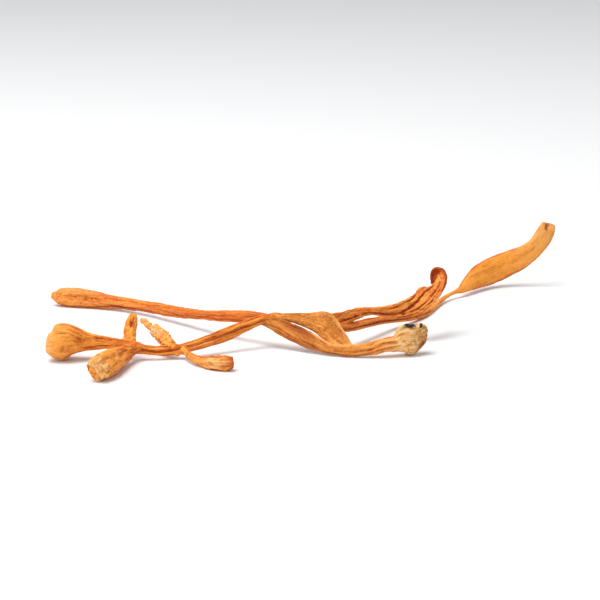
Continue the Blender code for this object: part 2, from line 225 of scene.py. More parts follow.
# ------------------------ grooves of the branches
# Each one is (turn, depth, width, first, last, drift, seed) and its twist, where it has one. What
# these are stands with furrow(), which cuts them.
FURROWS = {
    "foot": [
        (42, 0.7, 0.20, 15.0, 26.5, 0.1, 5),
        (118, 0.45, 0.22, 15.5, 27.0, 0.15, 6),
        (95, 0.35, 0.20, 4.0, 15.5, 0.3, 7, 1.0),
        (150, 0.5, 0.20, 10.0, 17.5, 0.15, 16),
        (250, 0.45, 0.28, 4.0, 26.0, 0.3, 8, 1.5),
        (300, 0.30, 0.24, 4.0, 24.0, 0.3, 9),
    ],
    "web": [
        (128, 0.22, 0.30, 2.0, 13.0, 0.35, 22, 1.0),
        (62, 0.2, 0.28, 5.0, 15.0, 0.35, 23, 2.0),
        (280, 0.4, 0.34, 2.0, 12.0, 0.35, 24),
    ],
    "front_branch": [
        (82, 0.42, 0.22, 12.0, 36.0, 0.25, 32, 0.6),
        (128, 0.30, 0.22, 14.0, 36.0, 0.3, 34, 0.6),
        (255, 0.45, 0.28, 9.0, 35.0, 0.3, 35),
        (305, 0.35, 0.24, 8.0, 33.0, 0.3, 36),
    ],
    "bud_shoot": [(turn, 0.16, 0.30, first, 14.0, 0.35, seed) for turn, first, seed in (
        (20, 2.0, 72), (75, 3.0, 73), (115, 4.0, 74), (160, 2.0, 75), (240, 3.0, 76), (330, 4.0, 77))],
    "small_club": [
        (70, 0.3, 0.22, 1.5, 8.0, 0.3, 82),
        (145, 0.28, 0.22, 2.0, 10.5, 0.3, 83),
        (25, 0.28, 0.22, 2.0, 10.5, 0.3, 87),
        (250, 0.3, 0.22, 2.0, 10.5, 0.3, 88),
    ],
    "back_branch": [
        (95, 0.5, 0.24, 1.0, 38.0, 0.3, 92, 0.8),
        (130, 0.34, 0.22, 5.0, 40.0, 0.3, 94, 0.8),
        (262, 0.45, 0.28, 2.0, 40.0, 0.3, 95),
    ],
    "curled_branch": [
        (70, 0.65, 0.24, 0.5, 14.0, 0.15, 102),
        # The deep one that starts in the notch below the curl and runs down into the branch
        (72, 0.6, 0.20, 12.0, 21.5, 0.1, 103, 5.7),
        (45, 0.4, 0.18, 11.0, 23.0, 0.15, 104, 4.0),
        (20, 0.35, 0.16, 11.0, 23.5, 0.15, 105, 4.0),
        (115, 0.3, 0.18, 10.0, 17.5, 0.15, 111, 4.0),
        (255, 0.7, 0.28, 2.0, 21.0, 0.3, 106),
        (290, 0.6, 0.24, 8.0, 21.0, 0.3, 107),
        # The hollow down the middle of the tip, which hangs in front of the branch
        (90, 1.0, 0.22, 24.8, 27.8, 0.1, 112),
    ],
    "long_club": [
        (60, 0.6, 0.22, 1.0, 30.0, 0.3, 122, 0.8),
        (250, 0.45, 0.26, 1.0, 38.0, 0.3, 123),
        (96, 0.12, 0.40, 46.0, 62.0, 0.1, 124),
        (268, 0.20, 0.40, 46.0, 62.0, 0.1, 125),
        (62, 0.06, 0.34, 44.0, 60.0, 0.25, 126),
        (124, 0.06, 0.34, 43.0, 60.0, 0.25, 127),
    ],
}
LIP_HEIGHT = 0.3
LIP_WIDTH = 2.4
GROOVE_FADE = 1.5
RIB_COUNT = 5
# How much of a groove or rib, and of a lump, the colours read as relief, which they paint as shade in
# hollows and as a highlight on crests
GROOVE_SHOWN = 0.8
LUMP_SHOWN = 0.25

# ------------------------ colours of the branches
# How deep the orange is, from 0 for light to 1 for red-brown: marks of (millimetres along, value)
TONES = {
    "foot": [(0, 0.1), (5, 0.2), (9, 0.25), (14, 0.35), (17, 0.5), (20, 0.75), (27, 0.7)],
    "web": [(0, 0.45), (6, 0.4), (14, 0.3)],
    "front_branch": [(0, 0.05), (9, 0.25), (13, 0.6), (22, 0.6), (27, 0.75), (37, 0.7)],
    "ear": [(0, 0.1), (3, -0.2)],
    "granular_shoot": [(0, 0.25), (4, 0.1)],
    # The bud shoot's shaft is deeper next to the front branch: painted shadow
    "bud_shoot": [(0, 0.8), (4, 0.6), (9, 0.2), (13, 0.0)],
    "small_club": [(0, 0.4), (5, 0.2), (9, 0.0), (10.3, 0.2), (11.2, 1.1)],
    "back_branch": [(0, 0.75), (18, 0.85), (34, 0.7), (50, 0.35)],
    # The curled branch goes deep red-brown towards its end: painted shade on the tip that hangs in the
    # hollow of the curl
    "curled_branch": [(0, 0.25), (6, 0.3), (10, 0.15), (16, 0.25), (20, 0.4), (23, 0.5), (24.5, 1.3)],
    "long_club": [(0, 0.55), (20, 0.6), (38, 0.35), (44, 0.15), (52, 0.0), (66, -0.25)],
}
# Soft marks of deeper orange, of bleached flesh and of the growing bed, each one (strength,
# millimetres along, turn, length, spread in degrees). A strength below 0 takes some away. Some of the
# deeper marks are painted shade and one pale mark is a painted highlight, as noted at each.
TONE_MARKS = {
    "foot": [
        (0.9, 21.5, 8, 3.6, 20),
        (0.45, 21.0, 140, 5.0, 30),
        # Painted shade: the upper band of the stem beside the slit, which faces up, is made deeper
        (0.85, 21.0, 50, 5.0, 36),
        (0.5, 14.5, 165, 2.2, 25),
        (0.9, 0.1, 160, 0.5, 40),
        (0.5, 9.5, 170, 1.6, 28),
        (0.4, 6.5, 10, 1.4, 25),
        (0.4, 21.0, 175, 4.5, 22),
        (0.5, 1.2, 150, 1.0, 30),
        (-0.45, 17.5, 20, 3.5, 18),
    ],
    "web": [
        (0.7, 10.8, 120, 1.5, 30),
        (-0.7, 12.0, 172, 3.0, 18),
    ],
    "front_branch": [(0.25, 7.0, 20, 3.0, 40)],
    # Painted shade in the hollow on the ear's near side
    "ear": [(0.9, 3.3, 90, 0.7, 30)],
    "small_club": [(0.6, 8.5, 178, 2.5, 22)],
    "curled_branch": [
        # Painted shade along the lower edge of the curled branch, in the next two marks
        (0.8, 5.0, 15, 4.5, 40),
        (0.5, 15.0, 0, 5.0, 28),
        (1.2, 22.3, 5, 2.3, 36),
        (-0.6, 22.3, 140, 1.7, 18),
        # Painted shade in the hollow of the curled tip
        (1.4, 26.0, 80, 1.2, 40),
        (-2.6, 26.0, 150, 1.6, 16),
        (-0.3, 12.0, 160, 4.0, 30),
    ],
    "long_club": [
        (0.35, 12.0, 0, 10.0, 30),
        (1.7, 56.0, 0, 11.0, 32),
        (1.3, 51.0, 180, 9.0, 28),
    ],
}
PALE_MARKS = {
    "foot": [
        (0.5, 16.5, 20, 3.0, 16),
        (-0.9, 0.1, 160, 0.5, 40),
    ],
    "web": [(0.6, 12.0, 172, 2.5, 26)],
    "granular_shoot": [
        (1.0, 5.2, 110, 0.9, 45),
        (0.7, 3.6, 70, 0.7, 35),
        (0.7, 7.6, 60, 0.6, 60),
    ],
    # Painted highlight in the middle of the small club's near side
    "small_club": [(0.7, 8.6, 95, 1.9, 45)],
}
SOIL_MARKS = {
    "foot": [
        (2.0, 2.9, 30, 0.75, 34),
        (1.9, 1.0, 30, 0.55, 32),
    ],
}
# Painted shade: the undersides are made deeper orange by this
UNDERSIDE_PAINTED_SHADE = 0.25
# Relief is read as a share of this many millimetres, up to the limit each way
RELIEF_RANGE = 0.12
RELIEF_LIMIT = 1.5


# ------------------------ noise
def shuffled(seed):
    """A shuffled run of 256 numbers, twice over, and 256 arrows of length one."""
    draw = np.random.default_rng(seed)
    order = draw.permutation(256)
    return np.concatenate([order, order]), unit(draw.normal(size=(256, 3)))


def noise(place, seed):
    """Gradient noise, from about -1 to 1.

    At each corner of the unit cell round a place stands a random arrow. The dot products of the
    arrows and the ways to the place are mixed with the weights 6t^5 - 15t^4 + 10t^3 of each axis,
    and their sum is taken 1.6 times. The seed picks the arrows.
    """
    order, arrows = shuffled(seed)
    cell = np.floor(place).astype(int)
    within = place - cell
    ease = within ** 3 * (within * (within * 6 - 15) + 10)
    total = np.zeros(place.shape[:-1])
    for corner in np.ndindex(2, 2, 2):
        at = (cell + corner) & 255
        pick = order[order[order[at[..., 0]] + at[..., 1]] + at[..., 2]]
        slope = ((within - corner) * arrows[pick]).sum(-1)
        total += slope * np.where(corner, ease, 1 - ease).prod(-1)
    return total * 1.6


def layered(place, seed, layers):
    """Noise with finer copies of itself added, each twice as fine and half as strong, over 1.5."""
    return sum(noise(place * 2 ** i, seed + i) / 2 ** i for i in range(layers)) / 1.5


def creased(place, seed):
    """Noise folded at zero, 1 - 2.4|n|, which has sharp crests and round hollows."""
    return 1.0 - 2.4 * np.abs(noise(place, seed))


def grooved(place, seed):
    """Noise folded the other way, 2.3|n|^0.75 - 1, which has round crests and sharp grooves."""
    return 2.3 * np.abs(noise(place, seed)) ** 0.75 - 1.0


def wander(s, pace, seed):
    """Noise along a line: how something drifts along a branch, with one turn about every pace."""
    place = np.full(np.shape(s) + (3,), 0.37)
    place[..., ALONG] = s / pace
    return noise(place, seed)


def ramp(value, low, high):
    """0 below low, 1 above high, and 3t^2 - 2t^3 between them."""
    t = np.clip((value - low) / (high - low), 0.0, 1.0)
    return t * t * (3 - 2 * t)


def fall(value, low, high):
    """1 below low and 0 above high: what a ramp leaves."""
    return 1 - ramp(value, low, high)


def unit(vectors):
    """Arrows of the same directions and of length one."""
    return vectors / np.linalg.norm(vectors, axis=-1, keepdims=True)


# ------------------------ skins
def spline(knots, at):
    """Read a uniform cubic B-spline.

    The four knots round a place are mixed with the weights (1-t)^3/6, (3t^3-6t^2+4)/6,
    (-3t^3+3t^2+3t+1)/6 and t^3/6. Beyond each end the knots are carried on straight, so that the
    line starts and ends at its first and last knots.
    """
    knots = np.concatenate([2 * knots[:1] - knots[1:2], knots, 2 * knots[-1:] - knots[-2:-1]])
    first = np.clip(np.floor(at).astype(int), 0, len(knots) - 4)
    t = (at - first)[:, None]
    weights = (1 - t) ** 3, 3 * t ** 3 - 6 * t ** 2 + 4, -3 * t ** 3 + 3 * t ** 2 + 3 * t + 1, t ** 3
    return sum(weight * knots[first + i] for i, weight in enumerate(weights)) / 6


class Skin:
    """The grid of points of one branch.

    A row's section is a rounded oval: half width x |cos|^(2/square) and half thickness x
    |sin|^(2/square), each with its sign, where square is given as marks of (millimetres along,
    value). Its edges bend towards the broad side by cup x half width x (cos^2 - 1/2).

    The section is carried along the spline of the stations. Past each end of the line it shrinks
    as the cosine c of an angle while it goes on by the cap's length x sqrt(1 - c^flat), which
    closes the end: 2 makes a round cap, more than that a cut face, and a long cap a root that
    sinks into the branch it grows from.

    The notch pulls the middle of the tip back, and the fray pulls at the cut face here and there.
    The slant leans the first end: a point goes out by slant[0] x its way across + slant[1] x its
    way out of the broad side, which fades over the slant's length.
    """

    def __init__(self, path, start, end, square=((0, 2.2),), cup=0.0, notch=0.0, notch_length=1.0,
                 flat_start=2.0, flat_end=2.0, fray_start=0.0, fray_end=0.0, fray_size=0.8,
                 slant=(0.0, 0.0), slant_length=4.0, columns=COLUMNS, step=ROW_STEP,
                 cap_rows=CAP_ROWS, seed=1):
        knots = np.array(path, float)
        knots[:, :3] -= MIDDLE
        fine = np.linspace(0, len(knots) - 1, KNOT_READINGS * len(knots))
        line = spline(knots, fine)[:, :3]
        reach = np.concatenate([[0], np.cumsum(np.linalg.norm(np.diff(line, axis=0), axis=1))])
        self.length = reach[-1]

        # The rows: where each one reads the line, how far beyond it lies and how much it shrinks
        body = np.linspace(0, self.length, int(self.length / step) + 2)
        closing = np.cos(np.linspace(0, math.pi / 2, cap_rows + 1)[1:])
        opening = closing[::-1]
        s = np.concatenate([np.zeros(cap_rows), body, np.full(cap_rows, self.length)])
        shrink = np.concatenate([opening, np.ones(len(body)), closing])
        shrink = np.maximum(shrink, SMALLEST_SECTION)[:, None]
        beyond = np.concatenate([-start * np.sqrt(1 - opening ** flat_start), np.zeros(len(body)),
                                 end * np.sqrt(1 - closing ** flat_end)])[:, None]
        read = spline(knots, np.interp(s, reach, fine))

        # The middle line and its axes. Rows stand in the first direction of every array, and
        # what is the same all round a row has one column.
        slopes = unit(np.gradient(line, reach, axis=0))
        along = unit(np.stack([np.interp(s, reach, slope) for slope in slopes.T], 1))
        across = unit(np.cross(along, FACING))
        roll = np.radians(read[:, 5:6])
        across = across * np.cos(roll) + np.cross(along, across) * np.sin(roll)
        self.axes = np.stack([along, across, np.cross(across, along)], 1)
        self.centre = read[:, :3] + along * beyond
        self.half_width = read[:, 3:4] * shrink
        self.half_thickness = read[:, 4:5] * shrink
        self.s = s[:, None] + beyond
        self.turn = np.linspace(0, 2 * math.pi, columns, endpoint=False)

        # The sections
        side, front = np.cos(self.turn), np.sin(self.turn)
        power = 2 / np.interp(self.s, *zip(*square))
        x = self.half_width * np.sign(side) * np.abs(side) ** power
        y = self.half_thickness * np.sign(front) * np.abs(front) ** power
        lift = y + cup * self.half_width * (side ** 2 - 0.5)
        fray = (fray_end * ramp(self.s, self.length - FRAY_LENGTH, self.length)
                - fray_start * fall(self.s, 0, FRAY_LENGTH))
        pull = (notch * front ** 2 * ramp(self.s, self.length - notch_length, self.length)
                + fray * layered(np.stack([0 * x, x, y], -1) / fray_size, seed, 2)
                + (slant[0] * x + slant[1] * y) * fall(self.s, 0, slant_length))
        self.points = (self.centre[:, None] + x[..., None] * self.axes[:, None, ACROSS]
                       + lift[..., None] * self.axes[:, None, OUT]
                       - pull[..., None] * self.axes[:, None, ALONG])

        # Where a point lies on the branch: along it, across it and out of its broad side
        self.place = np.stack([self.s - pull, x, y], -1)
        self.height = np.zeros(x.shape)
        self.relief = np.zeros(x.shape)

    def normals(self):
        """Outward directions: the cross product of the steps round a row and along a column."""
        around = np.roll(self.points, -1, 1) - np.roll(self.points, 1, 1)
        onward = np.gradient(self.points, axis=0)
        return unit(np.cross(onward, around) + 1e-12)

    def size_here(self):
        """The mean of half width and half thickness, one for each row."""
        return 0.5 * (self.half_width + self.half_thickness)

    def spot(self, middle, turn, length, spread):
        """A soft mark, 1 at its middle.

        It falls off as exp(-(a / length)^2 - (b / spread)^2), with a the way along the branch in
        millimetres and b the turn round it in degrees.
        """
        gap = np.angle(np.exp(1j * (self.turn - math.radians(turn))))
        return (np.exp(-((self.s - middle) / length) ** 2)
                * np.exp(-(gap / math.radians(spread)) ** 2))

    def spots(self, marks):
        """The sum of the soft marks of a list, each times its strength."""
        return sum((mark[0] * self.spot(*mark[1:]) for mark in marks), np.zeros(self.relief.shape))

    def rise(self, height, shown=1.0):
        """Add a height to the skin, and as much of it as shown to the relief that the colours read."""
        self.height += height
        self.relief += height * shown

    def settle(self):
        """Move every point outwards by its height, and none of them below the floor."""
        self.points = self.points + self.normals() * self.height[..., None]
        self.points[..., 2] = np.maximum(self.points[..., 2], 0.0)

    def furrow(self, turn, depth, width, first, last, drift, seed, twist=0.0):
        """A long groove with a low lip on each side.

        Its profile across is -depth x (exp(-(w/width)^2) - 0.3 exp(-(w/(2.4 width))^2)), with w the
        way round from its line. The line starts at the turn, goes on by twist degrees a millimetre
        and wanders by drift radians. The groove fades in after first and out before last, in
        millimetres along the branch, and between them it is 0.8 + 0.3 x noise times as deep. Depth
        is a share of the half thickness, up to a millimetre.
        """
        line = np.radians(turn + twist * (self.s - first)) + drift * wander(self.s, 5.0, seed)
        gap = np.angle(np.exp(1j * (self.turn - line)))
        pace = np.hypot(self.half_width * np.sin(line), self.half_thickness * np.cos(line))
        way = gap * np.maximum(pace, 0.15)
        fade = ramp(self.s, first, first + GROOVE_FADE) * fall(self.s, last - GROOVE_FADE, last)
        uneven = 0.8 + 0.3 * wander(self.s, 4.0, seed + 50)
        profile = np.exp(-(way / width) ** 2) - LIP_HEIGHT * np.exp(-(way / (LIP_WIDTH * width)) ** 2)
        self.rise(-depth * np.minimum(self.half_thickness, 1.0) * fade * uneven * profile, GROOVE_SHOWN)

    def furrows(self, table):
        """Every groove of a list."""
        for groove in table:
            self.furrow(*groove)

    def ribs(self, height, drift, seed, where=1.0):
        """Round ridges all along a shrunken branch, with narrow grooves between them.

        Round the branch the height goes as 2 |sin(ribs x turn / 2)|^0.7 - 1, and the ridges wander
        by drift radians. It is a share of the branch's own size, up to a millimetre, and wavers as
        0.75 + 0.5 x noise.
        """
        line = self.turn - drift * wander(self.s, 7.0, seed)
        wave = 2 * np.abs(np.sin(RIB_COUNT * line / 2)) ** 0.7 - 1
        fade = 0.75 + 0.5 * noise(self.place / (3.0, 1.5, 1.5), seed + 1)
        self.rise(height * where * wave * fade * np.minimum(self.size_here(), 1.0), GROOVE_SHOWN)

    def streaks(self, height, along, across, seed, where=1.0):
        """Long round ridges with sharp grooves: folded noise that is stretched along the branch."""
        self.rise(height * where * grooved(self.place / (along, across, across), seed)
                  * np.minimum(self.size_here(), 1.0))

    def wrinkles(self, height, along, across, seed, where=1.0):
        """Wrinkles that run round the branch: noise that is stretched round it."""
        self.rise(height * where * layered(self.place / (along, across, across), seed, 2))

    def grains(self, height, size, seed, where=1.0, shown=0.7):
        """Fine bumps: folded noise with sharp crests."""
        self.rise(height * where * creased(self.place / size, seed), shown)

    def scales(self, height, size, seed, where=1.0, shown=1.0, slope=0.0):
        """Fine bumps with sharp grooves between them, whose rows slope across the branch."""
        place = self.place - self.place[..., [ALONG]] * (0.0, slope, 0.0)
        self.rise(height * where * grooved(place / size, seed), shown)

    def crumbs(self, height, size, seed, where):
        """Torn crumbs: three layers of noise."""
        self.rise(height * where * layered(self.place / size, seed, 3))

    def dents(self, depth, size, seed, where, shown):
        """Soft dents between low crests: -depth x |noise|."""
        self.rise(-depth * where * np.abs(noise(self.place / size, seed)), shown)

    def lumps(self, height, size, seed):
        """Uneven thickness: slow noise, as a share of the branch's own size."""
        self.rise(height * self.size_here() * layered(self.place / size, seed, 2), LUMP_SHOWN)

    def distance(self, points):
        """About how far points are from this skin, negative inside.

        A point is set against the nearest reading of the middle line. In that section it is at x
        across and y out, and the oval's radius in its direction is 1 / |(x / half width, y / half
        thickness)| of its own distance from the middle. More than 0.1 past an end of the line, the
        way beyond is added as the other side of a right angle.
        """
        centre, axes = self.centre[::FILLET_ROWS], self.axes[::FILLET_ROWS]
        wide = np.maximum(self.half_width[::FILLET_ROWS, 0], FILLET_LEAST)
        thick = np.maximum(self.half_thickness[::FILLET_ROWS, 0], FILLET_LEAST)
        found = []
        for first in range(0, len(points), FILLET_CHUNK):
            chunk = points[first:first + FILLET_CHUNK]
            near = ((chunk[:, None] - centre[None]) ** 2).sum(-1).argmin(1)
            local = np.einsum("ij,ikj->ik", chunk - centre[near], axes[near])
            radius = np.hypot(local[:, ACROSS], local[:, OUT])
            share = np.hypot(local[:, ACROSS] / wide[near], local[:, OUT] / thick[near])
            to_side = radius * (1 - 1 / np.maximum(share, 1e-6))
            beyond = np.abs(local[:, ALONG])
            past = ((near == 0) | (near == len(centre) - 1)) & (beyond > 0.1)
            found.append(np.where(past, np.hypot(np.maximum(to_side, 0), beyond), to_side))
        return np.concatenate(found)

    def grow_into(self, other, reach):
        """Fill the corner where this branch meets another one.

        Where the other branch is nearer than reach, at d, the skin rises by (reach - d)^2 / (4 x
        reach), which is how far a smooth union of the two stands out of both. Inside the other
        branch it rises less the deeper it lies, by exp(-(d / (0.35 x reach))^2).
        """
        points, others = self.points.reshape(-1, 3), other.points.reshape(-1, 3)
        close = ((points > others.min(0) - reach) & (points < others.max(0) + reach)).all(1)
        close = np.flatnonzero(close)
        if len(close) == 0:
            return
        d = other.distance(points[close])
        swell = np.clip(reach - np.maximum(d, 0.0), 0.0, None) ** 2 / (4 * reach)
        swell *= np.exp(-(np.minimum(d, 0.0) / (0.35 * reach)) ** 2)
        self.height.reshape(-1)[close] += swell


# ------------------------ the branches' own skins
# Each call for relief gives its height, then its size along and across the branch in millimetres,
# then the seed of its noise, then where on the branch it is.


def make_foot():
    """The frayed, straw-coloured cut base and the stem that runs from it to the crossing."""
    skin = Skin(FOOT_PATH, start=0.3, end=1.2, square=((0, 3.8), (4, 2.9), (7, 2.3)), flat_start=10.0,
                fray_start=0.45, slant=FOOT_SLANT, cap_rows=44, seed=2)
    block = fall(skin.s, 3.0, 6.5)
    skin.lumps(0.12, (2.2, 1.2, 1.2), 3)
    skin.ribs(0.09, 0.4, 4, ramp(skin.s, 5.0, 8.0))
    skin.furrows(FURROWS["foot"])
    skin.rise(0.10 * ramp(skin.s, 14.0, 18.0) * skin.spot(21.0, 20, 9.0, 30))
    skin.streaks(0.10, 3.0, 0.36, 10, 1 - 0.65 * block)
    skin.wrinkles(0.05, 0.8, 1.4, 11)
    # The base: fibres that slope down and away from the cut, small pits and torn crumbs, a corner
    # that stands out at the top of the cut, one that is broken off below, and the uneven heel
    skin.scales(0.06, (1.6, 0.75, 0.75), 13, block, 0.7, slope=0.8)
    skin.dents(0.14, (1.9, 1.3, 1.3), 12, block, 0.4)
    skin.crumbs(0.09, 0.5, 15, block)
    skin.rise(0.2 * skin.spot(0.5, 15, 0.5, 28) - 0.6 * skin.spot(-0.1, 155, 0.9, 40), 0.2)
    skin.rise(0.3 * skin.spot(3.7, 178, 0.6, 35) - 0.25 * skin.spot(4.4, 10, 1.0, 45), 0.0)
    skin.grains(0.025, 0.28, 14)
    return skin


def make_web():
    """The flattened membrane between the stem and the crossing, plain along its edges."""
    skin = Skin(WEB_PATH, start=1.0, end=0.2, square=((0, 2.5),), cup=-0.15)
    inside = fall(np.abs(np.cos(skin.turn)), 0.75, 0.98)
    skin.lumps(0.05, (2.0, 1.2, 1.2), 21)
    skin.furrows(FURROWS["web"])
    skin.streaks(0.06, 1.8, 0.36, 25, inside)
    skin.wrinkles(0.03, 0.6, 1.0, 26, inside)
    skin.scales(0.04, (0.6, 0.42, 0.42), 28, inside)
    skin.rise(0.15 * skin.spot(8.5, 180, 1.8, 40), 0.0)
    skin.grains(0.035, 0.30, 27, inside)
    return skin


def make_front():
    """The grooved stalk in front, with its round drumstick head."""
    skin = Skin(FRONT_PATH, start=0.35, end=1.0, square=((0, 2.8), (6, 2.3)), flat_start=5.0,
                slant=HEAD_SLANT, slant_length=6.6, cap_rows=34, columns=136)
    head = fall(skin.s, 5.0, 9.0)
    stalk = 1 - head
    flare = ramp(skin.s, 0.6, 3.0) * fall(skin.s, 8.0, 12.0)
    skin.lumps(0.09, (2.6, 1.6, 1.6), 31)
    skin.ribs(0.10, 0.45, 42, stalk)
    skin.furrows(FURROWS["front_branch"])
    skin.streaks(0.10, 3.2, 0.38, 37, stalk)
    skin.wrinkles(0.045, 0.8, 1.4, 38)
    # Flutes that fan out from the neck over the head: noise read at the turn and not at the place
    # across, so that they are narrow at the neck and wide at the rim
    s, turn = np.broadcast_arrays(skin.s, skin.turn)
    fan = np.stack([s / 8.0, 2.6 * np.cos(turn), 2.6 * np.sin(turn)], -1)
    skin.rise(0.15 * flare * grooved(fan, 41), 0.4)
    skin.rise(0.06 * flare * grooved(fan * (1.2, 2.6, 2.6), 43), 0.8)
    skin.dents(0.26, (2.8, 1.9, 1.9), 44, fall(skin.s, 0.5, 4.0), 0.4)
    skin.scales(0.02, (1.6, 0.42, 0.42), 39, head)
    skin.grains(0.02, 0.36, 40, head)
    # Two burrs on the underside, beside the small club
    skin.rise(0.35 * skin.spot(19.7, 10, 0.35, 25) + 0.25 * skin.spot(20.7, 30, 0.3, 22), 0.3)
    return skin


def make_ear():
    """The small ear-shaped shoot that stands up from the front stalk, hollow on its near side."""
    skin = Skin(EAR_PATH, start=0.3, end=0.35, step=0.06)
    rim = np.abs(skin.place[..., ACROSS]) / np.maximum(skin.half_width, 0.1)
    near_side = ramp(np.sin(skin.turn), 0.1, 0.7)
    skin.rise(-0.28 * np.exp(-((skin.s - 3.3) / 0.75) ** 2) * near_side * fall(rim, 0.0, 0.5), 0.35)
    skin.lumps(0.26, (1.1, 0.9, 0.9), 50)
    skin.streaks(0.04, 1.8, 0.36, 51)
    skin.wrinkles(0.06, 0.6, 0.9, 52)
    skin.scales(0.05, 0.6, 54)
    skin.grains(0.03, 0.25, 53)
    return skin


def make_granular_shoot():
    """The short pale shoot beside the ear, covered in grains, with a waist below its tip."""
    skin = Skin(GRANULAR_SHOOT_PATH, start=0.2, end=0.3, step=0.06)
    skin.lumps(0.34, (1.2, 0.9, 0.9), 61)
    skin.rise(-0.22 * np.exp(-((skin.s - 6.3) / 0.5) ** 2), 0.3)
    skin.wrinkles(0.10, 0.7, 0.9, 62)
    skin.grains(0.17, 0.8, 65, shown=0.5)
    skin.grains(0.08, 0.5, 66, shown=0.8)
    skin.grains(0.05, 0.34, 63)
    skin.grains(0.03, 0.2, 64)
    return skin


def make_bud_shoot():
    """The thick side shoot in front, with a broad, torn, pale end."""
    skin = Skin(BUD_SHOOT_PATH, start=0.3, end=0.15, square=((0, 2.3), (4, 2.5), (10, 2.8)),
                flat_end=8.0, fray_end=0.3, fray_size=1.3, step=0.07, cap_rows=40, seed=70)
    end = ramp(skin.s, skin.length - 4.5, skin.length - 1.0)
    fat = ramp(skin.s, 3.0, 7.0)
    rim = skin.length - 0.5
    skin.lumps(0.10, (2.2, 1.5, 1.5), 71)
    skin.furrows(FURROWS["bud_shoot"])
    skin.streaks(0.08, 2.6, 0.5, 75, 1 - 0.4 * fat)
    skin.dents(0.14, (3.2, 1.7, 1.7), 76, fat, 0.2)
    skin.rise(-0.4 * skin.spot(rim, 232, 2.0, 28) - 0.25 * skin.spot(rim, 300, 2.0, 30), 0.0)
    skin.scales(0.11, 0.9, 82, end, 0.5)
    skin.crumbs(0.09, 0.5, 79, end)
    skin.grains(0.035, 0.3, 77)
    return skin


def make_small_club():
    """The small club that lies to the right of the front stalk."""
    skin = Skin(SMALL_CLUB_PATH, start=0.3, end=0.4, step=0.07)
    skin.lumps(0.16, (1.8, 1.2, 1.2), 81)
    skin.furrows(FURROWS["small_club"])
    skin.streaks(0.09, 2.0, 0.36, 84)
    skin.dents(0.2, (2.2, 1.2, 1.2), 89, ramp(skin.s, 5.0, 8.0), 0.3)
    skin.wrinkles(0.06, 0.7, 1.2, 85)
    skin.grains(0.04, 0.3, 86)
    return skin


def make_back():
    """The stalk that runs back from the crossing to its plain club head."""
    skin = Skin(BACK_PATH, start=1.0, end=0.5)
    head = ramp(skin.s, skin.length - 11.0, skin.length - 6.0)
    skin.lumps(0.11, (2.6, 1.6, 1.6), 91)
    skin.ribs(0.11, 0.45, 90)
    skin.furrows(FURROWS["back_branch"])
    skin.streaks(0.08, 3.0, 0.38, 96)
    skin.wrinkles(0.05, 0.8, 1.4, 97)
    skin.grains(0.06, (1.2, 0.55, 0.55), 89, head, shown=1.0)
    skin.grains(0.06, 0.36, 98, head)
    skin.grains(0.022, 0.26, 99)
    return skin


def make_curled():
    """The wrinkled branch that goes over a hump and a knee to its curled tip."""
    skin = Skin(CURLED_PATH, start=1.4, end=0.4, square=((0, 2.3),), cup=0.25, step=0.07)
    skin.lumps(0.13, (1.8, 1.1, 1.1), 101)
    skin.furrows(FURROWS["curled_branch"])
    # The knee and the notch below the curl, and the swelling at the root
    skin.rise(0.40 * skin.spot(18.5, 178, 1.1, 30) - 0.75 * skin.spot(20.3, 178, 0.5, 30), 0.2)
    skin.rise(0.45 * skin.spot(0.6, 180, 1.6, 50), 0.0)
    skin.streaks(0.10, 2.0, 0.36, 108)
    skin.wrinkles(0.08, 0.6, 1.1, 109, 0.6 + 0.6 * ramp(skin.s, 9.0, 13.0))
    skin.grains(0.03, 0.27, 110)
    return skin


def make_club():
    """The thin stalk on the surface that widens into a long flat club with a notched tip."""
    skin = Skin(CLUB_PATH, start=1.6, end=0.25, square=((0, 2.3),), notch=0.8, notch_length=1.1,
                step=0.1, cap_rows=18)
    blade = ramp(skin.s, 42.0, 46.0)
    tip = ramp(skin.s, skin.length - 1.5, skin.length - 0.5)
    skin.lumps(0.06, (3.0, 1.6, 1.6), 121)
    skin.ribs(0.12, 0.4, 132, 1 - blade)
    skin.furrows(FURROWS["long_club"])
    skin.rise(-0.24 * tip * np.exp(-((skin.place[..., ACROSS] + 0.35) / 0.25) ** 2), 0.7)
    skin.streaks(0.07, 4.0, 0.36, 128, 1 - 0.8 * blade)
    skin.scales(0.022, (1.4, 0.32, 0.32), 129, blade)
    skin.wrinkles(0.045, 0.8, 1.4, 130, 1 - 0.4 * blade)
    skin.grains(0.024, 0.30, 131)
    return skin


SKINS = {
    "foot": make_foot(),
    "web": make_web(),
    "front_branch": make_front(),
    "ear": make_ear(),
    "granular_shoot": make_granular_shoot(),
    "bud_shoot": make_bud_shoot(),
    "small_club": make_small_club(),
    "back_branch": make_back(),
    "curled_branch": make_curled(),
    "long_club": make_club(),
}
# Branches that grow into one another, and how far the corner between them is filled
JOINS = [
    ("foot", "web", 0.8),
    ("front_branch", "web", 0.6),
    ("front_branch", "foot", 0.6),
    ("back_branch", "web", 0.5),
    ("back_branch", "front_branch", 0.6),
    ("back_branch", "foot", 0.5),
    ("curled_branch", "web", 1.6),
    ("long_club", "web", 0.8),
    ("long_club", "curled_branch", 0.9),
    ("ear", "front_branch", 0.9),
    ("granular_shoot", "front_branch", 0.9),
    ("bud_shoot", "front_branch", 1.0),
    ("small_club", "front_branch", 0.9),
]
for one, other, reach in JOINS:
    SKINS[one].grow_into(SKINS[other], reach)
    SKINS[other].grow_into(SKINS[one], reach)
for skin in SKINS.values():
    skin.settle()


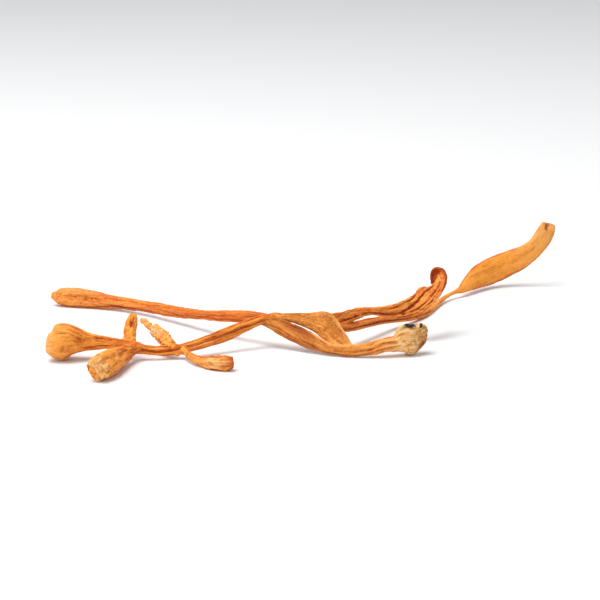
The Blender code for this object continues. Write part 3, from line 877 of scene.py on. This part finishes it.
# ------------------------ what the colours read
def tones():
    """How deep each branch's orange is: as its tables say, deeper on the cut, and deeper below as
    painted shade.
    """
    made = {}
    for name, skin in SKINS.items():
        # Painted shade on the undersides, which face down
        underside = ramp(-skin.normals()[..., 2], -0.1, 0.9)
        made[name] = (np.interp(skin.s, *zip(*TONES[name])) + skin.spots(TONE_MARKS.get(name, []))
                      + UNDERSIDE_PAINTED_SHADE * underside)
    made["foot"] += 0.6 * fall(SKINS["foot"].s, -0.2, 1.0)
    return made


def pales():
    """Where the flesh is bleached: the foot behind its cut, the ends of the clubs and shoots. Also
    painted light on the bud shoot's lit side and a painted highlight on the small club.
    """
    made = {name: skin.spots(PALE_MARKS.get(name, [])) for name, skin in SKINS.items()}
    foot, front, bud, club = (SKINS[name] for name in ("foot", "front_branch", "bud_shoot", "long_club"))
    ragged = foot.s + 0.9 * wander(foot.s, 1.2, 140)
    made["foot"] += fall(ragged, 2.8, 7.5) - 0.55 * fall(foot.s, -0.2, 1.0)
    made["front_branch"] += 0.08 * fall(front.s, 0.5, 7.0) + 0.4 * fall(np.abs(front.s + 0.1), 0.2, 1.0)
    # Painted light: the bud shoot's end is paler on its near side, which is lit
    painted_lit_side = ramp(np.sin(bud.turn), -0.6, 0.6)
    made["bud_shoot"] += (0.05 + 0.35 * painted_lit_side) * ramp(bud.s, bud.length - 3.0, bud.length)
    made["bud_shoot"] += bud.spots([(0.8, bud.length, 355, 0.7, 20), (0.9, bud.length, 76, 0.6, 30),
                                    (0.9, bud.length - 0.1, 178, 0.7, 20)])
    made["long_club"] += 0.3 * ramp(club.s, club.length - 12.0, club.length)
    return made


def soils():
    """Where grey-brown and black bits of the growing bed still stick: on the cut foot."""
    made = {name: skin.spots(SOIL_MARKS.get(name, [])) for name, skin in SKINS.items()}
    foot = SKINS["foot"]
    upper = ramp(np.cos(foot.turn), 0.3, 0.95)
    near_cut = fall(foot.s, 0.6, 3.6) * (0.25 + 0.3 * upper)
    made["foot"] += np.maximum(0.75 * fall(foot.s, -0.2, 0.9), near_cut)
    return made


# ------------------------ materials
LIGHT_ORANGE = (0.82, 0.29, 0.048)
GOLD_ORANGE = (0.88, 0.335, 0.045)
DEEP_ORANGE = (0.56, 0.118, 0.010)
# SHADE_RED and FOLD_RED are also painted shade in the hollows of the relief, and CREST_PEACH a painted
# highlight on its crests
SHADE_RED = (0.40, 0.062, 0.005)
FOLD_RED = (0.24, 0.026, 0.004)
CREST_PEACH = (0.90, 0.44, 0.13)
# The duller, browner oranges of the web and the foot
DULL_LIGHT = (0.76, 0.30, 0.052)
DULL_DEEP = (0.47, 0.145, 0.018)
DULL_SHADE = (0.36, 0.085, 0.010)
BLEACHED = (0.88, 0.59, 0.26)
BLEACHED_SHADE = (0.60, 0.24, 0.055)
SOIL_BROWN = (0.19, 0.125, 0.075)
SOIL_BLACK = (0.030, 0.014, 0.014)
FLOOR_WHITE = (0.86, 0.86, 0.87)
SKY_WHITE = (0.94, 0.97, 1.0)
FLESH_GLOW = (1.0, 0.35, 0.12)

# Which of a node's outputs, and of a colour mix's inputs, is read
VECTOR_OUTPUT, VALUE_OUTPUT = 1, 2
MIX_AMOUNT, MIX_FIRST, MIX_SECOND, MIX_OUTPUT = 0, 6, 7, 2


class Wire:
    """A value or colour on its way through a material's nodes, so that a sum is written as one."""

    def __init__(self, finish, socket):
        self.finish = finish
        self.socket = socket

    def maths(self, operation, *values):
        return self.finish.node("Math", {"operation": operation}, dict(enumerate(values)))

    def __add__(self, other):
        return self.maths("ADD", self, other)

    def __sub__(self, other):
        return self.maths("SUBTRACT", self, other)

    def __rsub__(self, other):
        return self.maths("SUBTRACT", other, self)

    def __mul__(self, other):
        return self.maths("MULTIPLY", self, other)

    __radd__ = __add__
    __rmul__ = __mul__

    def between(self, low, high):
        """0 at low and 1 at high, with a soft start and end."""
        return self.finish.node("MapRange", {"interpolation_type": "SMOOTHSTEP"},
                                {"Value": self, "From Min": low, "From Max": high})

    def kept(self):
        """The value held between 0 and 1."""
        return self.finish.node("Clamp", {}, {"Value": self})


class Finish:
    """A material in the making."""

    def __init__(self, name):
        self.material = bpy.data.materials.new(name)
        self.material.use_nodes = True
        self.tree = self.material.node_tree
        self.shader = self.tree.nodes["Principled BSDF"]

    def node(self, kind, settings, sockets, output=0):
        """Add a node: its settings first, then a value or a link for each named socket."""
        made = self.tree.nodes.new("ShaderNode" + kind)
        for name, value in settings.items():
            setattr(made, name, value)
        for name, value in sockets.items():
            self.feed(made.inputs[name], value)
        return Wire(self, made.outputs[output])

    def feed(self, socket, value):
        """Give a socket a link or a value. A colour gets the opaque fourth number that it needs."""
        if isinstance(value, Wire):
            self.tree.links.new(value.socket, socket)
        elif socket.type == "RGBA":
            socket.default_value = (*value, 1.0)
        else:
            socket.default_value = value

    def set(self, **sockets):
        """Give the shader's own sockets a value or a link, with _ for a space in their names."""
        for name, value in sockets.items():
            self.feed(self.shader.inputs[name.replace("_", " ")], value)

    def mix(self, amount, first, second):
        """Mix two colours."""
        return self.node("Mix", {"data_type": "RGBA"},
                         {MIX_AMOUNT: amount, MIX_FIRST: first, MIX_SECOND: second}, MIX_OUTPUT)

    def carried(self, name, output=VALUE_OUTPUT):
        """A value or a vector that the mesh carries at its points."""
        return self.node("Attribute", {"attribute_name": name}, {}, output)

    def noise(self, place, stretch, detail, roughness=0.55, distortion=0.0):
        """Noise that reads a place in millimetres, with one turn about every 1 / stretch."""
        scaled = self.node("VectorMath", {"operation": "MULTIPLY"}, {0: place, 1: stretch})
        return self.node("TexNoise", {}, {"Vector": scaled, "Scale": 1.0, "Detail": detail,
                                          "Roughness": roughness, "Distortion": distortion})


def flesh(name, light=LIGHT_ORANGE, deep=DEEP_ORANGE, shade=SHADE_RED, speckle=0.3, streak_width=0.34):
    """Dried flesh.

    Light and deep orange meet in long streaks, bands and soft patches, as the tone says. Over them
    go red-brown shade where the tone is deepest, painted red-brown shade where the relief is hollow,
    a painted peach highlight on the crests where it is high, dark and light specks, bleached ends,
    and bits of the growing bed. The speckle is how strong the dark specks are, and the streak width
    is in millimetres.
    """
    f = Finish(name)
    place = f.carried("place", VECTOR_OUTPUT)
    tone, relief, pale, soil = (f.carried(key) for key in ("tone", "relief", "pale", "soil"))
    fine = 1.0 / streak_width
    bands = f.noise(place, (0.16, 0.42 * fine, 0.42 * fine), detail=2.0)
    streaks = f.noise(place, (0.25, fine, fine), detail=3.0, roughness=0.6, distortion=0.3)
    patches = f.noise(place, (0.32, 0.7, 0.7), detail=3.0)
    crumbs = f.noise(place, (2.8, 3.2, 3.2), detail=2.0)
    bits = f.noise(place, (0.9, 1.3, 1.3), detail=4.0, roughness=0.65)
    hollow = 0.0 - relief
    # Painted shade in the hollows of the relief and a painted highlight on its crests
    hollows = hollow.between(0.05, 0.9)
    crests = relief.between(0.05, 0.95) * (0.35 + streaks.between(0.4, 0.65) * 0.65)

    depth = (tone + (bands.between(0.36, 0.64) - 0.5) * 0.45 + (streaks.between(0.38, 0.62) - 0.5) * 0.5
             + (patches.between(0.35, 0.65) - 0.5) * 0.4 + (crumbs - 0.5) * 0.9).kept()
    colour = f.mix(depth, light, deep)
    colour = f.mix(tone.between(0.9, 1.35) * 0.8, colour, shade)
    colour = f.mix(tone.between(1.3, 1.8) * 0.6, colour, FOLD_RED)
    # Painted highlight on the crests, then painted shade in the hollows and the deepest folds
    colour = f.mix(crests * (1.0 - tone * 0.7).kept() * 0.75, colour, CREST_PEACH)
    colour = f.mix(hollows * 0.85, colour, shade)
    colour = f.mix(hollow.between(0.7, 1.5) * 0.7, colour, FOLD_RED)
    colour = f.mix(crumbs.between(0.60, 0.76) * speckle, colour, shade)
    light_specks = (1.0 - crumbs).between(0.58, 0.72) * (1.0 - tone * 0.5).kept() * 0.4
    colour = f.mix(light_specks, colour, CREST_PEACH)
    # The bleached parts go darker along streaks, and as painted shade in the hollows
    dull = (streaks.between(0.35, 0.62) * 0.7 + hollows * 0.6).kept()
    bleached = f.mix(dull, BLEACHED, BLEACHED_SHADE)
    colour = f.mix((pale * 1.15 + (patches - 0.5) * pale * 1.6).kept(), colour, bleached)
    colour = f.mix((soil * bits.between(0.46, 0.58) * 0.85).kept(), colour, SOIL_BROWN)
    colour = f.mix((soil + bits * 1.2).between(1.55, 2.1), colour, SOIL_BLACK)

    bumps = streaks * 0.7 + crumbs * 0.5
    lifted = f.node("Bump", {}, {"Strength": 0.7, "Distance": 0.12 * MM, "Height": bumps})
    f.set(Base_Color=colour, Roughness=(0.50 + patches * 0.16 + pale * 0.12), Normal=lifted)
    f.set(Metallic=0.0, Specular_IOR_Level=0.16, Sheen_Weight=0.03, Sheen_Roughness=0.5,
          Subsurface_Weight=0.12, Subsurface_Scale=0.6 * MM, Subsurface_Radius=FLESH_GLOW)
    return f.material


FLESHES = {
    "foot": flesh("foot flesh", deep=DULL_DEEP, shade=DULL_SHADE, speckle=0.35),
    "web": flesh("web flesh", DULL_LIGHT, DULL_DEEP, DULL_SHADE, speckle=0.35, streak_width=0.36),
    "front_branch": flesh("front branch flesh", light=GOLD_ORANGE, speckle=0.2),
    "back_branch": flesh("back branch flesh", speckle=0.25),
    "curled_branch": flesh("curled branch flesh"),
    "long_club": flesh("club flesh", light=GOLD_ORANGE, speckle=0.12, streak_width=0.3),
}
# The shoots that the CAD has in another branch's node
NODE_OF = {"ear": "front_branch", "granular_shoot": "front_branch", "bud_shoot": "front_branch",
           "small_club": "front_branch"}


# ------------------------ meshes
def grid_faces(rows, columns):
    """A grid's point numbers and its four-cornered faces, with the last column joined to the first."""
    index = np.arange(rows * columns).reshape(rows, columns)
    beside = np.roll(index, -1, 1)
    return index, np.stack([index[:-1], index[1:], beside[1:], beside[:-1]], -1).reshape(-1, 4)


def place_in_scene(name, data):
    """An object of its own for a mesh, a lamp or a camera."""
    made = bpy.data.objects.new(name, data)
    bpy.context.scene.collection.objects.link(made)
    return made


def carry(mesh, name, values):
    """Keep a value or a vector of every point on the mesh. A pole has the mean of the row it closes."""
    vector = values.ndim == 3
    flat = values.reshape((-1, 3) if vector else -1)
    flat = np.concatenate([flat, values[[0, -1]].mean(1)]).astype(np.float32)
    kept = mesh.attributes.new(name, "FLOAT_VECTOR" if vector else "FLOAT", "POINT")
    kept.data.foreach_set("vector" if vector else "value", flat.ravel())


def dress(name, tone, pale, soil):
    """Make a skin's mesh and let it replace its CAD node.

    Each cell of the grid is one face with four corners, the last column joins the first, and each
    end row closes on one point in its middle. The faces look outwards.
    """
    skin = SKINS[name]
    node = NODE_OF.get(name, name)
    index, quads = grid_faces(*skin.points.shape[:2])
    first, last = index[0], index[-1]
    start_fan = np.stack([np.full(len(first), index.size), first, np.roll(first, -1)], -1)
    end_fan = np.stack([np.full(len(last), index.size + 1), np.roll(last, -1), last], -1)
    points = np.concatenate([skin.points.reshape(-1, 3), skin.points[[0, -1]].mean(1)]) * MM
    corners = np.concatenate([quads.ravel(), start_fan.ravel(), end_fan.ravel()])
    sizes = np.concatenate([np.full(len(quads), 4), np.full(len(first) + len(last), 3)])
    starts = np.concatenate([[0], np.cumsum(sizes)[:-1]])
    mesh = bpy.data.meshes.new(name)
    mesh.vertices.add(len(points))
    mesh.vertices.foreach_set("co", points.astype(np.float32).ravel())
    mesh.loops.add(len(corners))
    mesh.loops.foreach_set("vertex_index", corners.astype(np.int32))
    mesh.polygons.add(len(sizes))
    mesh.polygons.foreach_set("loop_start", starts.astype(np.int32))
    mesh.polygons.foreach_set("loop_total", sizes.astype(np.int32))
    mesh.update(calc_edges=True)
    mesh.validate()
    mesh.shade_smooth()
    relief = np.clip(skin.relief / RELIEF_RANGE, -RELIEF_LIMIT, RELIEF_LIMIT)
    for key, values in (("tone", tone), ("relief", relief), ("pale", pale), ("soil", soil),
                        ("place", skin.place)):
        carry(mesh, key, values)
    mesh.materials.append(FLESHES[node])
    piece = place_in_scene(name + "_skin", mesh)
    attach(piece, BODY)
    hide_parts(node)


TONE, PALE, SOIL = tones(), pales(), soils()
for name in SKINS:
    dress(name, TONE[name], PALE[name], SOIL[name])


# ------------------------ floor, light and camera
FLOOR_RADIUS = 2.5
FLOOR_RINGS = 40
FLOOR_SPOKES = 96
SKY_STRENGTH = 0.5
WHITE_LIGHT = (1.0, 1.0, 1.0)
WARM_LIGHT = (1.0, 0.98, 0.95)
# Soft square lamps that look at the piece: (name, position, size, power, colour)
LAMPS = [
    ("overhead", (-0.15, 0.02, 0.50), 0.30, 2.7, WARM_LIGHT),
    ("left", (-0.40, -0.30, 0.30), 0.25, 0.95, WHITE_LIGHT),
    ("right", (0.40, -0.30, 0.22), 0.35, 0.3, WHITE_LIGHT),
]
CAMERA_ELEVATION = math.radians(13.5)
CAMERA_DISTANCE = 0.4
CAMERA_TARGET = (-0.0014, -0.0017, 0.0052)
CAMERA_LENS = 150.0
CAMERA_NEAREST = 0.01


def make_floor():
    """A flat round floor: rings of points at radius x (ring / rings)^2, joined by quads."""
    rings = FLOOR_RADIUS * (np.arange(1, FLOOR_RINGS + 1) / FLOOR_RINGS) ** 2
    spokes = np.linspace(0, 2 * math.pi, FLOOR_SPOKES, endpoint=False)
    x, y = rings[:, None] * np.cos(spokes), rings[:, None] * np.sin(spokes)
    points = np.stack([x, y, np.zeros_like(x)], -1).reshape(-1, 3)
    index, quads = grid_faces(FLOOR_RINGS, FLOOR_SPOKES)
    mesh = bpy.data.meshes.new("floor")
    mesh.from_pydata(points.tolist(), [], quads.tolist() + [index[0].tolist()])
    finish = Finish("pale floor")
    finish.set(Base_Color=FLOOR_WHITE, Roughness=0.42)
    mesh.materials.append(finish.material)
    place_in_scene("floor", mesh)


def aim(thing, position, target):
    """Put a lamp or the camera at a position, looking at a target."""
    thing.location = position
    thing.rotation_euler = (Vector(target) - Vector(position)).to_track_quat("-Z", "Y").to_euler()


def make_lamp(name, position, size, power, colour):
    """A square soft light that looks at the piece."""
    data = bpy.data.lights.new(name, "AREA")
    data.shape = "SQUARE"
    data.size = size
    data.energy = power
    data.color = colour
    aim(place_in_scene(name, data), position, (0.0, 0.0, 0.0))


def make_camera():
    """A long lens that looks along +Y and a little down, as the piece is seen."""
    data = bpy.data.cameras.new("camera")
    data.lens = CAMERA_LENS
    data.clip_start = CAMERA_NEAREST
    camera = place_in_scene("camera", data)
    x, y, z = CAMERA_TARGET
    position = (x, y - CAMERA_DISTANCE * math.cos(CAMERA_ELEVATION),
                z + CAMERA_DISTANCE * math.sin(CAMERA_ELEVATION))
    aim(camera, position, CAMERA_TARGET)
    bpy.context.scene.camera = camera


def make_sky():
    """An even pale light from all round."""
    sky = bpy.data.worlds.new("sky")
    sky.use_nodes = True
    background = sky.node_tree.nodes["Background"]
    background.inputs["Color"].default_value = (*SKY_WHITE, 1.0)
    background.inputs["Strength"].default_value = SKY_STRENGTH
    bpy.context.scene.world = sky


make_floor()
make_camera()
make_sky()
for lamp in LAMPS:
    make_lamp(*lamp)
bpy.context.scene.view_settings.view_transform = "Standard"
